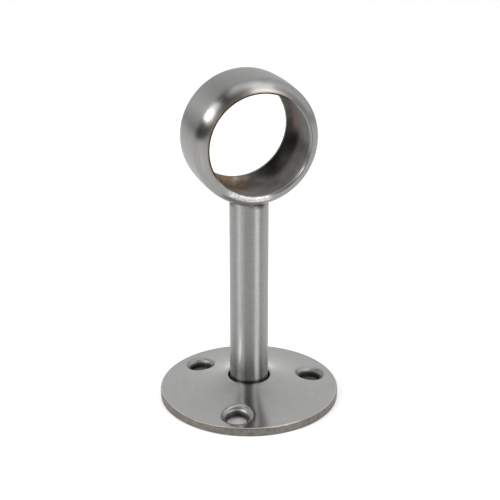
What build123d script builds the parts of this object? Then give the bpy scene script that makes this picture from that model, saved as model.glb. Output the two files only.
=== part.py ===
"""Handrail bracket for a 25 mm rail: a crowned collar on a tube stem, welded through a pressed round flange.

Units are millimetres. The wall or floor plane is z = 0, the stem runs up +Z through the origin,
and the rail passes through the collar along Y. The bracket is symmetric about the XZ plane.
"""

import os
from math import asin, cos, hypot, radians, sin, sqrt, tan

from build123d import *

# Rail and collar
rail_diameter = 25.0
rail_clearance = 0.5
collar_centre_height = 71.3
collar_half_width = 8.75
collar_crown_diameter = 32.7
collar_crown_radius = 70.8
collar_crown_half_length = 4.9
collar_wall = 1.0
collar_lip_round = 0.25

# Stem
stem_diameter = 10.0
stem_wall = 1.0
stem_foot_clearance = 0.5

# Flange, blanked from plate and pressed to a shallow trumpet
flange_diameter = 46.9
flange_thickness = 2.3
flange_hub_rise = 3.5
flange_rim_land = 2.0
flange_edge_round = 0.4
hub_clearance = 0.42
hub_lip_round = 0.5

# Screw holes
screw_count = 3
screw_circle_diameter = 34.7
screw_hole_diameter = 5.5
countersink_diameter = 7.8
countersink_angle = 90.0
countersink_lip_round = 0.3

# Welds
collar_weld_leg = 0.6
base_weld_leg = 1.8

# Radii that follow from the sizes above
bore_radius = rail_diameter / 2 + rail_clearance
crown_height = collar_crown_diameter / 2
stem_radius = stem_diameter / 2
hub_radius = stem_radius + hub_clearance
rim_radius = flange_diameter / 2
land_radius = rim_radius - flange_rim_land
screw_circle_radius = screw_circle_diameter / 2

# The flange's upper face is one arc, level where it leaves the flat rim land and climbing to the hub.
# The lower face is the same arc, one plate thickness further out.
dish_run = land_radius - hub_radius
dish_radius = (dish_run**2 + flange_hub_rise**2) / (2 * flange_hub_rise)
under_radius = dish_radius + flange_thickness
dish_centre = Vector(land_radius, under_radius)


def dish_point(radius, arc_radius):
    """Point of a pressed arc at a distance from the stem's axis, as (distance, height)."""
    return Vector(radius, dish_centre.Y - sqrt(arc_radius**2 - (dish_centre.X - radius) ** 2))


def arc_about(centre, start, end):
    """Arc from start to end about a centre, the short way round."""
    bisector = ((start - centre) + (end - centre)).normalized()
    return ThreePointArc(start, centre + bisector * (start - centre).length, end)


def polyline(*points):
    """Straight runs through points given as Vectors or pairs."""
    return Polyline(*[Vector(*point) if isinstance(point, tuple) else point for point in points])


def section(lines, rounds=()):
    """Closed section bounded by lines, with the corners listed in rounds as (corner, radius) eased."""
    face = make_face(Curve() + list(lines))
    for corner, radius in rounds:
        face = fillet(face.vertices().sort_by_distance(corner)[0], radius)
    return face


def about_stem(lines, rounds=()):
    """Turn a section, drawn as (distance, height), round the stem's axis."""
    return revolve(Plane.XZ * section(lines, rounds), Axis.Z)


def about_rail(lines, rounds=()):
    """Turn a section, drawn as (y, height above the rail's axis), round that axis."""
    origin = (0, 0, collar_centre_height)
    across = Plane(origin, x_dir=(0, 1, 0), z_dir=(1, 0, 0))
    return revolve(across * section(lines, rounds), Axis(origin, (0, 1, 0)))


def collar_curve(inset):
    """Crown and rolled shoulders, moved inwards by an inset, and the y at which they reach the bore.

    The crown arc runs to its tangent points. A shoulder arc goes on from each without a kink, and at
    no inset it meets the bore at the collar's end.
    """
    lean = asin(collar_crown_half_length / collar_crown_radius)
    normal = Vector(sin(lean), cos(lean))
    crown_centre = Vector(0, crown_height - collar_crown_radius)
    tangent = crown_centre + normal * collar_crown_radius
    reach = Vector(collar_half_width, bore_radius) - tangent
    shoulder_radius = -reach.dot(reach) / (2 * reach.dot(normal))
    shoulder_centre = tangent - normal * shoulder_radius
    drop = bore_radius - shoulder_centre.Y
    end_y = shoulder_centre.X + sqrt((shoulder_radius - inset) ** 2 - drop**2)
    shoulder = arc_about(shoulder_centre, Vector(end_y, bore_radius), tangent - normal * inset)
    far_shoulder = mirror(shoulder, Plane.YZ)
    crown = ThreePointArc(shoulder @ 1, (0, crown_height - inset), far_shoulder @ 1)
    return [shoulder, crown, far_shoulder], end_y


def collar_envelope():
    """The collar's outer form with no bore in it, which the stem and its weld are shaped to."""
    curve, end_y = collar_curve(0)
    axis_side = polyline((-end_y, bore_radius), (-end_y, 0), (end_y, 0), (end_y, bore_radius))
    return about_rail([*curve, axis_side])


def rail_collar():
    """Short tube swaged to a crown, with its ends rolled in to the bore and their lips eased."""
    outer, outer_y = collar_curve(0)
    inner, inner_y = collar_curve(collar_wall)
    lips = [(side * outer_y, bore_radius) for side in (-1, 1)]
    roots = [(side * inner_y, bore_radius) for side in (-1, 1)]
    lands = [Line(lip, root) for lip, root in zip(lips, roots)]
    return about_rail([*outer, *inner, *lands], [(lip, collar_lip_round) for lip in lips])


def stem_bar(radius):
    """Round bar on the stem's axis, from the stem's foot up into the collar."""
    height = collar_centre_height - stem_foot_clearance
    on_foot = (Align.CENTER, Align.CENTER, Align.MIN)
    return Pos(Z=stem_foot_clearance) * Cylinder(radius, height, align=on_foot)


def stem_tube():
    """Tube with its top end coped to the collar's crown."""
    return stem_bar(stem_radius) - stem_bar(stem_radius - stem_wall) - collar_envelope()


def collar_weld():
    """Fine flat-faced fillet weld along the saddle where the stem meets the collar."""
    bar = stem_bar(stem_radius)
    envelope = collar_envelope()
    joined = bar + envelope
    saddle = [
        edge
        for edge in joined.edges()
        if edge.geom_type not in (GeomType.LINE, GeomType.CIRCLE)
        and abs(hypot((edge @ 0.5).X, (edge @ 0.5).Y) - stem_radius) < 1e-3
    ]
    return chamfer(saddle, collar_weld_leg) - bar - envelope


def pressed_disc():
    """Flange before its screw holes are made: a flat rim land, a trumpet arc and a pierced hub."""
    hub_top = dish_point(hub_radius, dish_radius)
    hub_under = dish_point(hub_radius, under_radius)
    rim_top = (rim_radius, flange_thickness)
    top_arc = arc_about(dish_centre, hub_top, Vector(land_radius, flange_thickness))
    under_arc = arc_about(dish_centre, Vector(land_radius, 0), hub_under)
    rim = polyline((land_radius, flange_thickness), rim_top, (rim_radius, 0), (land_radius, 0))
    rounds = [(hub_top, hub_lip_round), (rim_top, flange_edge_round)]
    return about_stem([top_arc, rim, under_arc, Line(hub_under, hub_top)], rounds)


def screw_cutter():
    """Through hole with its countersink, standing at the origin under the flange's surface."""
    hole_radius = screw_hole_diameter / 2
    spread = tan(radians(countersink_angle / 2))
    sink_depth = (countersink_diameter / 2 - hole_radius) / spread
    sink_floor = dish_point(screw_circle_radius, dish_radius).Y - sink_depth
    sink_height = sink_depth + flange_hub_rise
    on_floor = (Align.CENTER, Align.CENTER, Align.MIN)
    sink = Cone(hole_radius, hole_radius + sink_height * spread, sink_height, align=on_floor)
    hole = Cylinder(hole_radius, 2 * (flange_thickness + flange_hub_rise))
    return hole + Pos(Z=sink_floor) * sink


def base_flange():
    """Pressed disc with its countersunk screw holes, one of them square to the rail.

    The disc is turned first, so that the seam of its revolved faces lies between two holes.
    """
    disc = Rot(Z=180 / screw_count) * pressed_disc()
    holes = PolarLocations(screw_circle_radius, screw_count) * screw_cutter()
    pierced = disc - holes
    lips = [
        edge
        for edge in pierced.edges()
        if edge.geom_type not in (GeomType.LINE, GeomType.CIRCLE) and edge.center().Z > flange_thickness / 2
    ]
    return fillet(lips, countersink_lip_round)


def base_weld():
    """Fillet weld under the flange, from the hub hole's lower edge to the stem's foot."""
    mouth = dish_point(hub_radius, under_radius)
    toe = dish_point(hub_radius + base_weld_leg, under_radius)
    root = Vector(stem_radius, mouth.Y)
    heel = Vector(stem_radius, mouth.Y - base_weld_leg)
    return about_stem([arc_about(dish_centre, mouth, toe), polyline(toe, heel, root, mouth)])


os.makedirs("parts", exist_ok=True)
for make in (rail_collar, stem_tube, base_flange, collar_weld, base_weld):
    export_step(make(), f"parts/{make.__name__}.step")
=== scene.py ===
from math import asin, atan2, cos, hypot, pi, radians, sin, sqrt

import bmesh
import bpy
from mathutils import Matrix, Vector


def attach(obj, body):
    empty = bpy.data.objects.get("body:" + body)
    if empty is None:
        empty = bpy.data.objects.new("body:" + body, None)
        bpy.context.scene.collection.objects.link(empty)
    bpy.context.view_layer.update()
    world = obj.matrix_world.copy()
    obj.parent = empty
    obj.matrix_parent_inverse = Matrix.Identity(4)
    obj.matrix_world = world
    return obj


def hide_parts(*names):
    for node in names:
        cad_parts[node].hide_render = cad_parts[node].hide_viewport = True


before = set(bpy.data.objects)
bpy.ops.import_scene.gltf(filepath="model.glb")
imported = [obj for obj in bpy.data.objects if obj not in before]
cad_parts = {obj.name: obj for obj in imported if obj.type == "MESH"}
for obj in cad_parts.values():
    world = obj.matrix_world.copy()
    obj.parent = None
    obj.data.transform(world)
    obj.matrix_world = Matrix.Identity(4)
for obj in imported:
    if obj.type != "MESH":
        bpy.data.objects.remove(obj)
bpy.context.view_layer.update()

mm = 0.001

# Base flange: a disc blanked from 2.3 mm stainless plate, pressed up to a hub round the stem.
# Three countersunk screw holes stand at 120 degrees, the first of them square to the rail.
# Its face is satin from the press and buffing wheel, and its blanked rim is rougher and browner.
rim_radius = 23.45 * mm
plate = 2.3 * mm
hub_rise = 3.5 * mm
land_radius = rim_radius - 2.0 * mm
rim_round = 0.4 * mm
seat_break = 0.12 * mm
hub_radius = 5.42 * mm
hub_round = 0.5 * mm
hole_count = 3
hole_circle = 17.35 * mm
hole_radius = 2.75 * mm
sink_radius = 3.9 * mm
sink_softness = 0.45 * mm
sink_lean = 0.09
dimple_radius = 5.4 * mm
dimple_depth = 0.32 * mm

# The upper face is one arc from the level rim land up to the hub, and the lower face follows it.
dish_run = land_radius - hub_radius
dish_radius = (dish_run**2 + hub_rise**2) / (2 * hub_rise)
under_radius = dish_radius + plate


def pressed_height(distance, arc_radius):
    """Height of the flange's upper or lower face at a distance from the stem's axis."""
    run = max(land_radius - distance, 0)
    return under_radius - sqrt(arc_radius**2 - run**2)


def dimple(x, y):
    """How far the upper face is drawn down round the screw hole that stands on the X axis."""
    share = hypot(x - hole_circle, y) / dimple_radius
    return dimple_depth * max(1 - share**2, 0) ** 2


def dimpled_height(x, y):
    """Height of the upper face at a point, before the hole is cut."""
    return pressed_height(hypot(x, y), dish_radius) - dimple(x, y)


def spread(start, end, steps):
    """Evenly spaced values from start to end, both included."""
    return [start + (end - start) * step / steps for step in range(steps + 1)]


def arc(centre, radius, start, end, steps):
    """Points of an arc in a section, from one angle to another, both ends included."""
    angles = spread(start, end, steps)
    return [(centre[0] + radius * cos(a), centre[1] + radius * sin(a)) for a in angles]


def flange_sector():
    """A third of the flange with its hole on the X axis, as an open mesh.

    Columns of one section stand side by side. Round the hole a patch of them is left out of both
    faces, and rings of points let the hole in there. The attribute "sunk" goes from 0 on the face
    to 0.5 on the cone, 1 mm below the face, and to 1 on the hole's wall.
    """
    patch_cells = 24
    patch_inner, patch_outer = hole_circle - 5.6 * mm, hole_circle + 5.3 * mm
    patch_turn = 0.325
    side_columns = 42
    hub_steps = 8
    sunk_reach, sunk_depth = 5.0 * mm, 1.0 * mm
    wall_reach, wall_fade = 3.0 * mm, 0.2 * mm

    lip_r = hub_radius + hub_round
    lip_z = under_radius - sqrt((dish_radius + hub_round) ** 2 - (land_radius - lip_r) ** 2)
    lip_end = atan2(under_radius - lip_z, land_radius - lip_r)
    section = arc((lip_r, lip_z), hub_round, pi, lip_end, 8)
    first_top = len(section) + hub_steps - 2  # the last row before patch_inner
    top_rows = spread(section[-1][0], patch_inner, hub_steps)[1:-1]
    top_rows += spread(patch_inner, patch_outer, patch_cells)
    section += [(r, pressed_height(r, dish_radius)) for r in top_rows]
    edge = arc((rim_radius - rim_round, plate - rim_round), rim_round, pi / 2, 0, 6)
    section += [(r, plate) for r in spread(patch_outer, edge[0][0], 2)[1:-1]] + edge
    upper_rows = len(section)
    section += [(rim_radius, z) for z in spread(edge[-1][1], seat_break, 3)[1:]]
    section += [(rim_radius - seat_break, 0), (patch_outer, 0)]
    first_under = len(section) - 1
    under_rows = spread(patch_outer, patch_inner, patch_cells)[1:]
    under_rows += spread(patch_inner, hub_radius, hub_steps - 1)[1:]
    section += [(r, pressed_height(r, under_radius)) for r in under_rows]

    side_turns = spread(patch_turn, pi / hole_count, side_columns)
    turns = [-t for t in reversed(side_turns)][:-1]
    turns += spread(-patch_turn, patch_turn, patch_cells) + side_turns[1:]
    points = []
    for turn in turns:
        for row, (r, z) in enumerate(section):
            x, y = r * cos(turn), r * sin(turn)
            points.append((x, y, z - dimple(x, y) if row < upper_rows else z))

    def at(column, row):
        return column * len(section) + row % len(section)

    def in_patch(column, row):
        level = any(0 <= row - first < patch_cells for first in (first_top, first_under))
        return level and 0 <= column - side_columns < patch_cells

    faces = [
        (at(c, r), at(c + 1, r), at(c + 1, r + 1), at(c, r + 1))
        for c in range(len(turns) - 1)
        for r in range(len(section))
        if not in_patch(c, r)
    ]

    def border(first_row, rise):
        """Border of a patch, once round the hole, starting at its inner row."""
        near, far = side_columns, side_columns + patch_cells
        inner_row, outer_row = first_row, first_row + rise * patch_cells
        loop = [at(c, inner_row) for c in range(near, far)]
        loop += [at(far, r) for r in range(inner_row, outer_row, rise)]
        loop += [at(c, outer_row) for c in range(far, near, -1)]
        return loop + [at(near, r) for r in range(outer_row, inner_row, -rise)]

    def join(first, second):
        """Band of faces between two loops of the same count. Returns the second."""
        for i, (start, inner_start) in enumerate(zip(first, second)):
            j = (i + 1) % len(first)
            faces.append((start, first[j], second[j], inner_start))
        return second

    sink_floor = pressed_height(hole_circle, dish_radius) - (sink_radius - hole_radius)

    def upper(x, y, distance):
        """Height of the face where it is dimpled, or of the cone, with a soft lip between them."""
        face = dimpled_height(x, y)
        cone = sink_floor + distance - hole_radius + sink_lean * (hole_circle - x)
        near = max(sink_softness - abs(face - cone), 0) / sink_softness
        return min(face, cone) - near**2 * sink_softness / 4

    def lower(x, y, distance):
        return pressed_height(hypot(x, y), under_radius)

    def ring(around, height):
        """New loop of points, given as turns and distances about the hole's axis."""
        made = list(range(len(points), len(points) + len(around)))
        for turn, distance in around:
            x, y = hole_circle + distance * cos(turn), distance * sin(turn)
            points.append((x, y, height(x, y, distance)))
        return made

    loop = border(first_top, 1)
    offsets = [(points[i][0] - hole_circle, points[i][1]) for i in loop]
    outer = [(atan2(y, x), hypot(x, y)) for x, y in offsets]
    widest = 4.95 * mm
    rings = [[(t, widest + share * (d - widest)) for t, d in outer] for share in (0.66, 0.33, 0)]
    cone_rings = spread(4.95, 3.35, 24)[1:] + [3.1, 2.85, 2.75]
    rings += [[(t, distance * mm) for t, d in outer] for distance in cone_rings]
    for around in rings:
        loop = join(loop, ring(around, upper))
    loop = join(loop, ring([(t, hole_radius) for t, d in outer], lower))
    loop = join(loop, ring([(t, 0.5 * (hole_radius + d)) for t, d in outer], lower))
    join(loop, border(first_under + patch_cells, -1))

    mesh = bpy.data.meshes.new("flange_sector")
    mesh.from_pydata(points, [], faces)
    sunk = mesh.attributes.new("sunk", "FLOAT", "POINT")
    for i, (x, y, z) in enumerate(points):
        from_hole = hypot(x - hole_circle, y)
        if from_hole <= sunk_reach:
            cone_share = min(max((dimpled_height(x, y) - z) / sunk_depth, 0), 1)
            wall_share = min(max((wall_reach - from_hole) / wall_fade, 0), 1)
            sunk.data[i].value = 0.5 * (cone_share + wall_share)
    return mesh


def connect(tree, node, inputs):
    """Sets a node's inputs, each given as a plain value or as another node's output."""
    for socket, value in inputs.items():
        if isinstance(value, bpy.types.NodeSocket):
            tree.links.new(value, node.inputs[socket])
        else:
            node.inputs[socket].default_value = value


def add_node(tree, kind, inputs, **settings):
    """New node with its settings and inputs."""
    node = tree.nodes.new(kind)
    for name, value in settings.items():
        setattr(node, name, value)
    connect(tree, node, inputs)
    return node


def number(tree, operation, *values):
    """Math node: each value is a number or another node's output."""
    inputs = dict(enumerate(values))
    return add_node(tree, "ShaderNodeMath", inputs, operation=operation).outputs[0]


def product(tree, *shares):
    result = shares[0]
    for share in shares[1:]:
        result = number(tree, "MULTIPLY", result, share)
    return result


def distance_across(tree, one, two):
    """Distance from an axis, from the two coordinates across it."""
    squares = [number(tree, "MULTIPLY", side, side) for side in (one, two)]
    return number(tree, "SQRT", number(tree, "ADD", *squares))


def fade(tree, value, start, end, first, last):
    """Smooth change from first to last as value goes from start to end."""
    inputs = {"Value": value, "From Min": start, "From Max": end, "To Min": first, "To Max": last}
    ease = add_node(tree, "ShaderNodeMapRange", inputs, interpolation_type="SMOOTHSTEP")
    return ease.outputs["Result"]


def between(tree, value, start, full, fall, end):
    """Share that rises smoothly from start to full and goes back to nothing from fall to end."""
    return product(tree, fade(tree, value, start, full, 0, 1), fade(tree, value, fall, end, 1, 0))


def blend_colour(tree, share, first, second):
    """Mix of two colours or outputs by a share from 0 to 1."""
    first, second = [(*end, 1) if isinstance(end, tuple) else end for end in (first, second)]
    inputs = {"Factor": share, "A": first, "B": second}
    return add_node(tree, "ShaderNodeMix", inputs, data_type="RGBA").outputs["Result"]


def noise(tree, vector, scale, detail):
    inputs = {"Vector": vector, "Scale": scale, "Detail": detail}
    return add_node(tree, "ShaderNodeTexNoise", inputs).outputs[0]


def steel(name, colour, roughness, grain, anisotropy=0.0, axis="Z", centre=(0, 0, 0)):
    """Satin steel brushed round an axis: fine lines in its colour, roughness and bump.

    Returns its material, tree and shader, its coordinates, and the colour and dullness so far.
    """
    round_scale, line_scale = 2.2, 2000
    material = bpy.data.materials.new(name)
    material.use_nodes = True
    tree = material.node_tree
    shader = tree.nodes["Principled BSDF"]

    coordinates = add_node(tree, "ShaderNodeTexCoord", {}).outputs["Object"]
    shift = {"Vector": coordinates, "Location": [-c for c in centre]}
    centred = add_node(tree, "ShaderNodeMapping", shift).outputs[0]
    split = add_node(tree, "ShaderNodeSeparateXYZ", {0: centred}).outputs
    one, two = [split[a] for a in "XYZ" if a != axis]
    distance = distance_across(tree, one, two)
    lines = {
        "X": number(tree, "MULTIPLY", number(tree, "DIVIDE", one, distance), round_scale),
        "Y": number(tree, "MULTIPLY", number(tree, "DIVIDE", two, distance), round_scale),
        "Z": number(tree, "MULTIPLY", number(tree, "ADD", split[axis], distance), line_scale),
    }
    stretched = add_node(tree, "ShaderNodeCombineXYZ", lines).outputs[0]
    brush = noise(tree, stretched, scale=1.0, detail=5.0)
    cloud = noise(tree, coordinates, scale=160.0, detail=3.0)
    off_brush = number(tree, "SUBTRACT", brush, 0.5)
    off_cloud = number(tree, "SUBTRACT", cloud, 0.5)

    shade = number(tree, "MULTIPLY_ADD", off_brush, 2 * grain, 1.0)
    shade = number(tree, "MULTIPLY_ADD", off_cloud, 0.10, shade)
    mix = {"Factor": 1.0, "A": (*colour, 1), "B": shade}
    tint = add_node(tree, "ShaderNodeMix", mix, data_type="RGBA", blend_type="MULTIPLY")
    shaded = tint.outputs["Result"]
    uneven = number(tree, "MULTIPLY", off_brush, 0.10)
    uneven = number(tree, "MULTIPLY_ADD", off_cloud, 0.08, uneven)
    dull = number(tree, "ADD", uneven, roughness)
    bump = {"Strength": 0.25, "Distance": 0.01 * mm, "Height": brush}
    tangent = add_node(tree, "ShaderNodeTangent", {}, direction_type="RADIAL", axis=axis)
    look = {
        "Base Color": shaded,
        "Metallic": 1.0,
        "Roughness": dull,
        "Normal": add_node(tree, "ShaderNodeBump", bump).outputs[0],
        "Anisotropic": anisotropy,
        "Anisotropic Rotation": 0.25,
        "Tangent": tangent.outputs[0],
    }
    connect(tree, shader, look)
    return {
        "material": material,
        "tree": tree,
        "shader": shader,
        "colour": shaded,
        "dull": dull,
        "coordinates": coordinates,
        "x": split["X"],
        "y": split["Y"],
        "z": split["Z"],
        "distance": distance,
    }


def speckle(metal, scale, detail=4.0):
    """Fine noise over a piece, for mottled or ground places."""
    return noise(metal["tree"], metal["coordinates"], scale, detail)


def refinish(metal, share, colour, roughness):
    """Lays another colour and roughness over a steel's finish so far, wherever share is 1."""
    tree = metal["tree"]
    metal["colour"] = blend_colour(tree, share, metal["colour"], colour)
    change = product(tree, share, number(tree, "SUBTRACT", roughness, metal["dull"]))
    metal["dull"] = number(tree, "ADD", metal["dull"], change)
    connect(tree, metal["shader"], {"Base Color": metal["colour"], "Roughness": metal["dull"]})


def attribute(tree, name):
    return add_node(tree, "ShaderNodeAttribute", {}, attribute_name=name).outputs["Fac"]


flange_colour = (0.352, 0.35, 0.342)
flange_steel = steel("satin_flange", flange_colour, roughness=0.19, grain=0.09)
tree = flange_steel["tree"]
from_stem = flange_steel["distance"]
sunk = attribute(tree, "sunk")
cone = fade(tree, sunk, 0, 0.15, 0, 1)
refinish(flange_steel, cone, (0.25, 0.247, 0.239), 0.42)
# Painted shade: a faint dark line along each countersink's lip.
sink_lip_shade = product(tree, between(tree, sunk, 0.03, 0.07, 0.09, 0.14), 0.25)
refinish(flange_steel, sink_lip_shade, (0.05, 0.048, 0.043), 0.45)
# Painted shade at the foot of each countersink, where the cone meets the hole.
cone_foot_shade = fade(tree, sunk, 0.33, 0.44, 0, 1)
refinish(flange_steel, cone_foot_shade, (0.07, 0.067, 0.062), 0.5)
# Painted shade on the walls of the screw holes.
hole_wall_shade = fade(tree, sunk, 0.85, 1.0, 0, 1)
refinish(flange_steel, hole_wall_shade, (0.1, 0.097, 0.09), 0.5)
hub_side = fade(tree, from_stem, 14.4 * mm, 15.6 * mm, 0.85, 0)
# Painted shade on the hub side of each countersink: a dark line just under the lip, and a darker
# band where the cone meets the wall.
hub_side_shade_line = product(tree, hub_side, between(tree, sunk, 0.13, 0.18, 0.22, 0.27))
refinish(flange_steel, hub_side_shade_line, (0.06, 0.058, 0.052), 0.5)
hub_wall_shade = product(tree, hub_side, fade(tree, sunk, 0.4, 0.49, 0, 1))
refinish(flange_steel, hub_wall_shade, (0.03, 0.029, 0.026), 0.5)
# Painted highlight: a lighter speckled band along the rim's rounded top edge.
near_rim = fade(tree, from_stem, rim_radius - 0.5 * mm, rim_radius - 0.36 * mm, 0, 1)
rim_edge_highlight = product(tree, near_rim, fade(tree, speckle(flange_steel, 90), 0.4, 0.65, 0, 0.6))
refinish(flange_steel, rim_edge_highlight, (0.55, 0.54, 0.52), 0.35)
# Painted highlight: a lighter ring round the hub's lip.
hub_edge_highlight = fade(tree, from_stem, hub_radius + 0.3 * mm, hub_radius + 0.42 * mm, 1, 0)
refinish(flange_steel, hub_edge_highlight, (0.42, 0.405, 0.38), 0.38)
blanked = fade(tree, from_stem, rim_radius - 0.2 * mm, rim_radius - 0.06 * mm, 0, 1)
rim_mottle = speckle(flange_steel, 900)
rim_colour = blend_colour(tree, rim_mottle, (0.08, 0.071, 0.06), (0.26, 0.244, 0.22))
refinish(flange_steel, blanked, rim_colour, 0.45)


def new_tree(name, inputs):
    """Geometry tree that takes a mesh, named inputs with their socket types, and a material.

    Returns the tree and the outputs of its input node.
    """
    tree = bpy.data.node_groups.new(name, "GeometryNodeTree")
    for label, kind in {"Geometry": "Geometry", **inputs, "Material": "Material"}.items():
        tree.interface.new_socket(label, in_out="INPUT", socket_type="NodeSocket" + kind)
    tree.interface.new_socket("Geometry", in_out="OUTPUT", socket_type="NodeSocketGeometry")
    return tree, tree.nodes.new("NodeGroupInput").outputs


def end_tree(tree, given, geometry):
    """Ends a tree: instances are made real and the material is set."""
    real = add_node(tree, "GeometryNodeRealizeInstances", {"Geometry": geometry}).outputs[0]
    coat = {"Geometry": real, "Material": given["Material"]}
    coated = add_node(tree, "GeometryNodeSetMaterial", coat).outputs[0]
    add_node(tree, "NodeGroupOutput", {"Geometry": coated})


def grown(name, mesh, tree, values):
    """Object made by a geometry tree from a mesh, as a plain closed mesh at the origin."""
    blank = bpy.data.objects.new(name + "_blank", mesh)
    bpy.context.scene.collection.objects.link(blank)
    modifier = blank.modifiers.new(name, "NODES")
    modifier.node_group = tree
    for item in tree.interface.items_tree:
        if item.in_out == "INPUT" and item.name in values:
            modifier[item.identifier] = values[item.name]
    bpy.context.view_layer.update()
    evaluated = blank.evaluated_get(bpy.context.evaluated_depsgraph_get())
    made = bpy.data.meshes.new_from_object(evaluated)
    bpy.data.objects.remove(blank)
    shape = bmesh.new()
    shape.from_mesh(made)
    bmesh.ops.remove_doubles(shape, verts=shape.verts, dist=1e-7)
    bmesh.ops.recalc_face_normals(shape, faces=shape.faces)
    shape.to_mesh(made)
    shape.free()
    made.shade_smooth()
    made.set_sharp_from_angle(angle=radians(28))
    made.name = name
    piece = bpy.data.objects.new(name, made)
    bpy.context.scene.collection.objects.link(piece)
    return piece


def repeat_tree():
    """Copies of a sector turned about the stem's axis, edge to edge."""
    tree, given = new_tree("Sectors round the stem", {"Count": "Int"})
    line = add_node(tree, "GeometryNodeMeshLine", {"Count": given["Count"], "Offset": (0, 0, 0)})
    index = add_node(tree, "GeometryNodeInputIndex", {}).outputs[0]
    turn = number(tree, "MULTIPLY", index, number(tree, "DIVIDE", 2 * pi, given["Count"]))
    spin = add_node(tree, "ShaderNodeCombineXYZ", {"Z": turn}).outputs[0]
    copies = {"Points": line.outputs[0], "Instance": given["Geometry"], "Rotation": spin}
    end_tree(tree, given, add_node(tree, "GeometryNodeInstanceOnPoints", copies).outputs[0])
    return tree


flange_values = {"Count": hole_count, "Material": flange_steel["material"]}
flange = grown("flange_disc", flange_sector(), repeat_tree(), flange_values)
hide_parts("base_flange")
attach(flange, "root")

# Base weld: a fillet bead laid under the flange, between its hub hole and the stem's foot.
# It is left as welded, swollen and spotted with scale, and only shows from below.
bead_leg = 1.8 * mm
bead_swell = 0.245 * mm
stem_radius = 5.0 * mm


def wrapped_grid(tree, given, rows):
    """Grid to be wrapped round an axis: its mesh, and the row and angle of each point."""
    across = number(tree, "ADD", rows, 1)
    around = number(tree, "ADD", given["Steps"], 1)
    grid = add_node(tree, "GeometryNodeMeshGrid", {"Vertices X": around, "Vertices Y": across})
    index = add_node(tree, "GeometryNodeInputIndex", {}).outputs[0]
    step = number(tree, "FLOOR", number(tree, "DIVIDE", number(tree, "ADD", index, 0.5), across))
    row = number(tree, "SUBTRACT", index, number(tree, "MULTIPLY", step, across))
    turn = number(tree, "MULTIPLY", step, number(tree, "DIVIDE", 2 * pi, given["Steps"]))
    return grid.outputs["Mesh"], number(tree, "MODULO", row, rows), turn


def turned_tree():
    """A closed section, drawn on one side of an axis, turned once round it."""
    inputs = {
        "Points": "Int",
        "Steps": "Int",
        "Axis": "Vector",
        "Axis height": "Float",
        "Last outside row": "Float",
    }
    tree, given = new_tree("Section turned round an axis", inputs)
    mesh, row, turn = wrapped_grid(tree, given, given["Points"])
    position = add_node(tree, "GeometryNodeInputPosition", {}).outputs[0]
    read = {"Geometry": given["Geometry"], "Value": position, "Index": row}
    drawn = add_node(tree, "GeometryNodeSampleIndex", read, data_type="FLOAT_VECTOR").outputs[0]
    rotation = {"Vector": drawn, "Axis": given["Axis"], "Angle": turn}
    rotated = add_node(tree, "ShaderNodeVectorRotate", rotation).outputs[0]
    lift = add_node(tree, "ShaderNodeCombineXYZ", {"Z": given["Axis height"]}).outputs[0]
    lifted = add_node(tree, "ShaderNodeVectorMath", {0: rotated, 1: lift}).outputs[0]
    place = {"Geometry": mesh, "Position": lifted}
    shape = add_node(tree, "GeometryNodeSetPosition", place).outputs[0]
    is_inside = number(tree, "GREATER_THAN", row, given["Last outside row"])
    mark = {"Geometry": shape, "Name": "inside", "Value": is_inside}
    end_tree(tree, given, add_node(tree, "GeometryNodeStoreNamedAttribute", mark).outputs[0])
    return tree


def outline(name, section):
    """Closed loop of edges through section points given as positions."""
    mesh = bpy.data.meshes.new(name)
    mesh.from_pydata(section, [(i, (i + 1) % len(section)) for i in range(len(section))], [])
    return mesh


turned = turned_tree()
weld_colour = (0.30, 0.27, 0.23)
weld_metal = steel("weld_metal", weld_colour, roughness=0.42, grain=0.1)
scale_spots = fade(weld_metal["tree"], speckle(weld_metal, 420), 0.42, 0.6, 1, 0)
refinish(weld_metal, scale_spots, (0.045, 0.038, 0.03), 0.55)
mouth = pressed_height(hub_radius, under_radius)
heel_r, heel_z = stem_radius, mouth - bead_leg
toe_r, toe_z = hub_radius + bead_leg, pressed_height(hub_radius + bead_leg, under_radius)
bead_section = [(stem_radius, 0, mouth), (hub_radius, 0, mouth)]
for t in reversed(spread(0, 1, 6)):
    swell = bead_swell * sin(pi * t)
    across, up = heel_r + (toe_r - heel_r) * t, heel_z + (toe_z - heel_z) * t
    bead_section.append((across - swell, 0, up + swell))
base_bead_values = {
    "Points": len(bead_section),
    "Steps": 192,
    "Axis": (0, 0, 1),
    "Axis height": 0.0,
    "Last outside row": float(len(bead_section)),
    "Material": weld_metal["material"],
}
base_bead_outline = outline("base_bead_section", bead_section)
base_bead = grown("base_bead", base_bead_outline, turned, base_bead_values)
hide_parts("base_weld")
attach(base_bead, "root")

# Stem: a 10 mm stainless tube with a 1 mm wall, brushed round and coped at the top to the collar.
# It stands through the hub with a thin gap, darkened by painted shade on the stem, and is welded
# underneath.
stem_wall = 1.0 * mm
foot_height = 0.5 * mm
collar_height = 71.3 * mm
crown_radius = 16.35 * mm
crown_arc = 70.8 * mm


def other_leg(tree, longest, leg):
    """The second short side of a right triangle."""
    squares = [number(tree, "MULTIPLY", side, side) for side in (longest, leg)]
    return number(tree, "SQRT", number(tree, "SUBTRACT", *squares))


def crown_underside(tree, given, x, y):
    """Height of the collar's outside below its axis, over a point x, y."""
    arc_centre = number(tree, "SUBTRACT", given["Crown radius"], given["Crown arc"])
    out = number(tree, "ADD", arc_centre, other_leg(tree, given["Crown arc"], y))
    return number(tree, "SUBTRACT", given["Collar height"], other_leg(tree, out, x))


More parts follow.
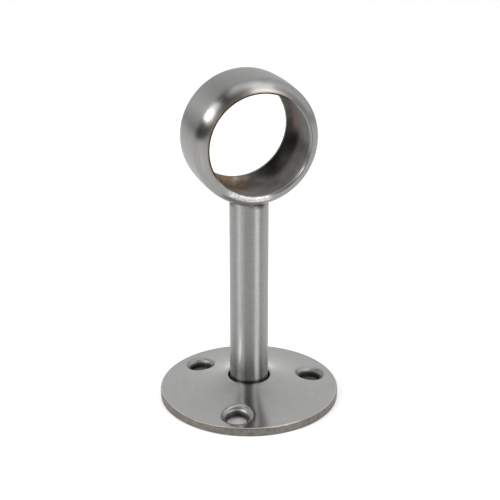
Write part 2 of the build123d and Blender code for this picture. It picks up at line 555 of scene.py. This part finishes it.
def pick(tree, row, chosen, value, otherwise):
    """value on the chosen rows and otherwise on the rest."""
    hits = [number(tree, "COMPARE", row, chosen_row, 0.1) for chosen_row in chosen]
    on = hits[0]
    for hit in hits[1:]:
        on = number(tree, "MAXIMUM", on, hit)
    off = number(tree, "SUBTRACT", 1, on)
    return number(tree, "MULTIPLY_ADD", off, otherwise, number(tree, "MULTIPLY", on, value))


def round_stem(tree, radius, turn):
    """The x and y of points at a radius and an angle about the stem's axis."""
    return [product(tree, radius, number(tree, way, turn)) for way in ("COSINE", "SINE")]


def placed(tree, mesh, x, y, z):
    """The mesh with each of its points at x, y, z."""
    point = add_node(tree, "ShaderNodeCombineXYZ", {"X": x, "Y": y, "Z": z}).outputs[0]
    place = {"Geometry": mesh, "Position": point}
    return add_node(tree, "GeometryNodeSetPosition", place).outputs[0]


saddle_sizes = {
    "Collar height": collar_height,
    "Crown radius": crown_radius,
    "Crown arc": crown_arc,
}
saddle_inputs = {"Steps": "Int", **dict.fromkeys(saddle_sizes, "Float")}


def coped_tube_tree():
    """Tube on the stem's axis, cut off square at its foot and along the collar at its top.

    Its rows are the outside's foot and top, then the inside's top and foot.
    """
    inputs = {"Outer radius": "Float", "Wall": "Float", "Foot height": "Float", **saddle_inputs}
    tree, given = new_tree("Coped tube", inputs)
    mesh, row, turn = wrapped_grid(tree, given, 4)
    inner = number(tree, "SUBTRACT", given["Outer radius"], given["Wall"])
    x, y = round_stem(tree, pick(tree, row, (0, 1), given["Outer radius"], inner), turn)
    z = pick(tree, row, (1, 2), crown_underside(tree, given, x, y), given["Foot height"])
    end_tree(tree, given, placed(tree, mesh, x, y, z))
    return tree


stem_colour = (0.27, 0.268, 0.262)
stem_steel = steel("satin_stem", stem_colour, roughness=0.33, grain=0.16, anisotropy=0.93)
tree = stem_steel["tree"]
# Painted shade: the stem is nearly black just above the hub's lip, standing for the shade in the
# gap.
crevice_shade = fade(tree, stem_steel["z"], 5.75 * mm, 6.15 * mm, 1, 0)
refinish(stem_steel, crevice_shade, (0.01, 0.01, 0.01), 0.6)
# Painted shade: the stem grows darker towards its foot.
foot_shade = fade(tree, stem_steel["z"], 6.5 * mm, 15.0 * mm, 0.4, 0)
refinish(stem_steel, foot_shade, (0.13, 0.128, 0.12), 0.33)
# Painted shade just below the collar weld, broken into speckled smudges.
near_seam = fade(tree, stem_steel["z"], 53.2 * mm, 54.6 * mm, 0, 1)
seam_shade = product(tree, near_seam, fade(tree, speckle(stem_steel, 230, 2.0), 0.4, 0.62, 0, 0.8))
refinish(stem_steel, seam_shade, (0.06, 0.05, 0.042), 0.5)
blank_mesh = bpy.data.meshes.new("blank")
stem_values = {
    "Outer radius": stem_radius,
    "Wall": stem_wall,
    "Foot height": foot_height,
    **saddle_sizes,
    "Steps": 256,
    "Material": stem_steel["material"],
}
stem = grown("stem", blank_mesh, coped_tube_tree(), stem_values)
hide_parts("stem_tube")
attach(stem, "root")

# Collar: a short stainless tube swaged to a crown, its ends rolled in to the bore for the rail.
# It is brushed round the rail's axis, and the weld to the stem has tinted its inside.
bore_radius = 13.0 * mm
half_width = 8.75 * mm
crown_half_length = 4.9 * mm
collar_wall = 1.0 * mm
lip_round = 0.25 * mm
crown_steps, shoulder_steps, lip_steps = 10, 28, 8
half_outside = crown_steps + shoulder_steps + lip_steps


def collar_section():
    """Closed section of the collar's wall, as (y, distance from the rail's axis) points.

    A shoulder arc goes on from each end of the crown arc without a kink and meets the bore at
    the collar's end, where a small arc eases the lip. The inside is the same, one wall further in.
    """
    lean = asin(crown_half_length / crown_arc)
    crown_centre = (0, crown_radius - crown_arc)
    tangent_y, tangent_out = crown_arc * sin(lean), crown_centre[1] + crown_arc * cos(lean)
    reach_y, reach_out = half_width - tangent_y, bore_radius - tangent_out
    shoulder = -(reach_y**2 + reach_out**2) / (2 * (reach_y * sin(lean) + reach_out * cos(lean)))
    centre = (tangent_y - shoulder * sin(lean), tangent_out - shoulder * cos(lean))
    drop = bore_radius - centre[1]
    round_out = bore_radius + lip_round
    round_y = centre[0] + sqrt((shoulder - lip_round) ** 2 - (round_out - centre[1]) ** 2)
    leaving = atan2(round_out - centre[1], round_y - centre[0])
    root_y = centre[0] + sqrt((shoulder - collar_wall) ** 2 - drop**2)
    inner_end = atan2(drop, root_y - centre[0])

    upright = pi / 2
    outside = arc(crown_centre, crown_arc, upright, upright - lean, crown_steps)
    outside += arc(centre, shoulder, upright - lean, leaving, shoulder_steps)[1:]
    outside += arc((round_y, round_out), lip_round, leaving, -upright, lip_steps)[1:]
    inner_shoulder_steps, inner_crown_steps = 22, 8
    inside = arc(centre, shoulder - collar_wall, inner_end, upright - lean, inner_shoulder_steps)
    inner_crown = crown_arc - collar_wall
    inside += arc(crown_centre, inner_crown, upright - lean, upright, inner_crown_steps)[1:]
    far_outside = [(-y, out) for y, out in reversed(outside)][:-1]
    far_inside = [(-y, out) for y, out in reversed(inside)][1:]
    return far_outside + outside + inside + far_inside


collar_colour = (0.25, 0.248, 0.243)
collar_steel = steel(
    "satin_collar",
    collar_colour,
    roughness=0.30,
    grain=0.2,
    anisotropy=0.85,
    axis="Y",
    centre=(0, 0, collar_height),
)
tree = collar_steel["tree"]
across, along, above = collar_steel["x"], collar_steel["y"], collar_steel["z"]
inside = attribute(tree, "inside")
# Angle about the rail's axis from straight down, in radians, positive towards +X
round_rail = number(tree, "ARCTAN2", across, number(tree, "MULTIPLY", above, -1))
inside_mottle = speckle(collar_steel, 300, 8.0)
inside_colour = blend_colour(tree, inside_mottle, (0.07, 0.066, 0.06), (0.27, 0.258, 0.24))
refinish(collar_steel, inside, inside_colour, 0.4)
# Painted shade on the inside's far part, towards the back opening on the right and top.
far_inside_shade = product(
    tree,
    inside,
    fade(tree, along, 2.5 * mm, 5.5 * mm, 0, 0.8),
    between(tree, round_rail, 0.3, 0.75, 1.35, 2.2),
)
refinish(collar_steel, far_inside_shade, (0.028, 0.026, 0.022), 0.45)
heat = product(
    tree,
    inside,
    between(tree, round_rail, -0.7, -0.3, 0.05, 0.45),
    fade(tree, along, 1.0 * mm, 5.0 * mm, 0, 1),
    fade(tree, speckle(collar_steel, 420), 0.35, 0.62, 0.3, 0.95),
)
refinish(collar_steel, heat, (0.12, 0.084, 0.052), 0.45)
blush = product(
    tree,
    inside,
    between(tree, round_rail, 1.35, 1.6, 1.85, 2.2),
    between(tree, along, 2.5 * mm, 4.5 * mm, 6.3 * mm, 7.2 * mm),
)
refinish(collar_steel, blush, (0.21, 0.168, 0.15), 0.45)
# Painted highlight: a lighter band on the inside land just within the front opening.
land_highlight = between(tree, along, -8.6 * mm, -8.4 * mm, -7.9 * mm, -7.7 * mm)
refinish(collar_steel, product(tree, inside, land_highlight), (0.4, 0.39, 0.37), 0.4)
# Painted shade in a thin band just behind that land, under the lip.
shade_behind_land = between(tree, along, -7.75 * mm, -7.65 * mm, -7.45 * mm, -7.1 * mm)
refinish(collar_steel, product(tree, inside, shade_behind_land), (0.02, 0.018, 0.016), 0.5)
lip_out = number(tree, "SUBTRACT", collar_steel["distance"], bore_radius)
on_lip = fade(tree, along, -8.25 * mm, -8.35 * mm, 0, 1)
open_side = product(
    tree,
    fade(tree, across, 6.0 * mm, 10.0 * mm, 1, 0),
    fade(tree, above, -9.0 * mm, -5.0 * mm, 0, 1),
)
# Painted highlight: a thin bronze-tinted line on the outer part of the lip's round, on the open
# side.
bronze_highlight_line = product(
    tree,
    on_lip,
    between(tree, lip_out, 0.3 * mm, 0.42 * mm, 0.5 * mm, 0.8 * mm),
    open_side,
)
refinish(collar_steel, bronze_highlight_line, (0.26, 0.19, 0.12), 0.38)
lip_shade = product(tree, on_lip, fade(tree, lip_out, 0.34 * mm, 0.44 * mm, 1, 0), open_side)
refinish(collar_steel, lip_shade, (0.018, 0.014, 0.011), 0.4)
lathe_line = product(
    tree,
    on_lip,
    between(tree, lip_out, 0.2 * mm, 0.32 * mm, 0.4 * mm, 0.55 * mm),
    fade(tree, across, 2.0 * mm, 6.0 * mm, 0, 0.8),
)
refinish(collar_steel, lathe_line, (0.09, 0.085, 0.078), 0.45)
# Partly a ground finish and partly a painted highlight: a pale speckled crescent on the bottom of
# the front lip.
ground_and_highlight = product(
    tree,
    between(tree, round_rail, -0.72, -0.55, 0.1, 0.28),
    fade(tree, along, -8.3 * mm, -7.9 * mm, 1, 0),
    fade(tree, speckle(collar_steel, 1500), 0.35, 0.6, 0.35, 1),
)
refinish(collar_steel, ground_and_highlight, (0.68, 0.67, 0.65), 0.5)
collar_points = [(0, y, out) for y, out in collar_section()]
collar_outline = outline("collar_section", collar_points)
collar_values = {
    "Points": len(collar_points),
    "Steps": 256,
    "Axis": (0, 1, 0),
    "Axis height": collar_height,
    "Last outside row": 2 * half_outside + 0.5,
    "Material": collar_steel["material"],
}
collar = grown("collar", collar_outline, turned, collar_values)
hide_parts("rail_collar")
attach(collar, "root")

# Collar weld: a fine fillet along the saddle where the stem's coped end meets the collar.
# It is the base weld's metal, left as welded with the ripple of each puddle.
seam_leg = 0.6 * mm


def saddle_bead_tree():
    """Bead along the saddle, from the stem's side out to the collar, with puddle ripples.

    Its rows are the root, the toe on the stem, the middle of the face and the toe on the collar.
    """
    middle_share = 0.42
    inputs = {"Stem radius": "Float", "Leg": "Float", "Ripples": "Float", "Ripple height": "Float"}
    tree, given = new_tree("Bead along the saddle", {**inputs, **saddle_inputs})
    mesh, row, turn = wrapped_grid(tree, given, 4)
    leg = given["Leg"]
    wave = number(tree, "SINE", number(tree, "MULTIPLY", turn, given["Ripples"]))
    wave = number(tree, "MULTIPLY", wave, given["Ripple height"])
    middle = number(tree, "ADD", number(tree, "MULTIPLY", leg, middle_share), wave)
    out = pick(tree, row, (3,), leg, pick(tree, row, (2,), middle, 0.0))
    x, y = round_stem(tree, number(tree, "ADD", given["Stem radius"], out), turn)
    down = pick(tree, row, (1,), leg, pick(tree, row, (2,), middle, 0.0))
    z = number(tree, "SUBTRACT", crown_underside(tree, given, x, y), down)
    end_tree(tree, given, placed(tree, mesh, x, y, z))
    return tree


collar_bead_values = {
    "Stem radius": stem_radius,
    "Leg": seam_leg,
    "Ripples": 46.0,
    "Ripple height": 0.02 * mm,
    **saddle_sizes,
    "Steps": 512,
    "Material": weld_metal["material"],
}
collar_bead = grown("collar_bead", blank_mesh, saddle_bead_tree(), collar_bead_values)
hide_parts("collar_weld")
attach(collar_bead, "root")

# Floor: a plain white sheet just under the flange, bright enough to have no edge in the picture.
# A dark patch stands for the shade under the flange, a little lighter towards its front.
floor_half, floor_drop = 3, 0.02 * mm
corners = [(-floor_half, -floor_half, 0), (floor_half, -floor_half, 0)]
corners += [(floor_half, floor_half, 0), (-floor_half, floor_half, 0)]
floor_mesh = bpy.data.meshes.new("floor")
floor_mesh.from_pydata(corners, [], [(0, 1, 2, 3)])
floor = bpy.data.objects.new("floor", floor_mesh)
bpy.context.scene.collection.objects.link(floor)
floor.location.z = -floor_drop
paper = bpy.data.materials.new("white_paper")
paper.use_nodes = True
tree = paper.node_tree
sheet = add_node(tree, "ShaderNodeTexCoord", {}).outputs["Object"]
place = add_node(tree, "ShaderNodeSeparateXYZ", {0: sheet}).outputs
from_middle = distance_across(tree, place["X"], place["Y"])
under = product(
    tree,
    fade(tree, from_middle, 21.5 * mm, 22.5 * mm, 1, 0),
    fade(tree, place["Y"], -11.0 * mm, -7.0 * mm, 0.64, 1),
)
paper_look = {
    "Base Color": blend_colour(tree, under, (0.8, 0.8, 0.8), (0.09, 0.086, 0.077)),
    "Roughness": 0.4,
    "Emission Color": blend_colour(tree, under, (1.0, 1.0, 1.0), (0.0, 0.0, 0.0)),
    "Emission Strength": 0.17,
}
connect(tree, tree.nodes["Principled BSDF"], paper_look)
floor_mesh.materials.append(paper)

# Light: a studio with a pale wall behind the bracket and a dim room behind the camera.
# Soft boxes hang to the left and right of the camera, beside the table and over it.
camera_turn = radians(-19.74)
bracket_middle = Vector((0, 0, 50 * mm))


def heading(turn, rise):
    """Direction at an angle round from the camera, positive to its right, and an angle up."""
    around, up = camera_turn + radians(turn), radians(rise)
    return Vector((sin(around) * cos(up), -cos(around) * cos(up), sin(up)))


def soft_box(name, turn, rise, distance, width, tall, brightness):
    """Rectangular soft box that faces the bracket, as bright as a paper of that radiance."""
    light = bpy.data.lights.new(name, "AREA")
    light.shape = "RECTANGLE"
    light.size = width
    light.size_y = tall
    light.energy = brightness * pi * width * tall
    lamp = bpy.data.objects.new(name, light)
    lamp.location = heading(turn, rise) * distance + bracket_middle
    lamp.rotation_euler = (-heading(turn, rise)).to_track_quat("-Z", "Y").to_euler()
    bpy.context.scene.collection.objects.link(lamp)


# Angle round and angle up, distance, width, height and brightness
soft_box("left_box", -62, 38, 1.0, 0.85, 0.43, 3.3)
soft_box("left_lamp", -61, 31, 0.98, 0.26, 0.24, 21.0)
soft_box("front_box", -36, 24, 1.0, 0.20, 0.28, 3.5)
soft_box("right_box", 48, 24, 1.0, 0.46, 0.85, 4.4)
soft_box("high_box", 70, 62, 1.0, 0.54, 0.43, 2.1)
soft_box("back_box", 104, 32, 1.0, 0.70, 1.15, 0.85)
soft_box("side_box", -110, 28, 1.0, 0.60, 0.80, 0.45)
soft_box("top_box", 0, 86, 1.0, 0.73, 0.73, 1.6)

world = bpy.data.worlds.new("studio")
bpy.context.scene.world = world
world.use_nodes = True
air = world.node_tree
looked_at = add_node(air, "ShaderNodeTexCoord", {}).outputs["Generated"]


def along_heading(turn, rise):
    """How far the looked-at direction points along a heading, from -1 to 1."""
    pair = {0: looked_at, 1: heading(turn, rise)}
    return add_node(air, "ShaderNodeVectorMath", pair, operation="DOT_PRODUCT").outputs["Value"]


wall_glow = fade(air, along_heading(174, 12), -0.1, 0.9, 0.05, 0.96)
room_glow = fade(air, along_heading(16, 24), 0.82, 0.98, 0, 0.2)
connect(air, air.nodes["Background"], {"Color": number(air, "ADD", wall_glow, room_glow)})
bpy.context.scene.view_settings.view_transform = "Standard"

# Camera: the photograph's viewpoint, above and to the left of the rail's axis.
# Its place and lens come from a fit of the outlines.
lens = bpy.data.cameras.new("camera")
lens.lens = 96.27
lens.sensor_width = 36
camera = bpy.data.objects.new("camera", lens)
camera.location = (-0.10631, -0.29705, 0.17139)
aim = Vector((0.000237, -0.000085, 0.040956))
camera.rotation_euler = (aim - camera.location).to_track_quat("-Z", "Y").to_euler()
bpy.context.scene.collection.objects.link(camera)
bpy.context.scene.camera = camera
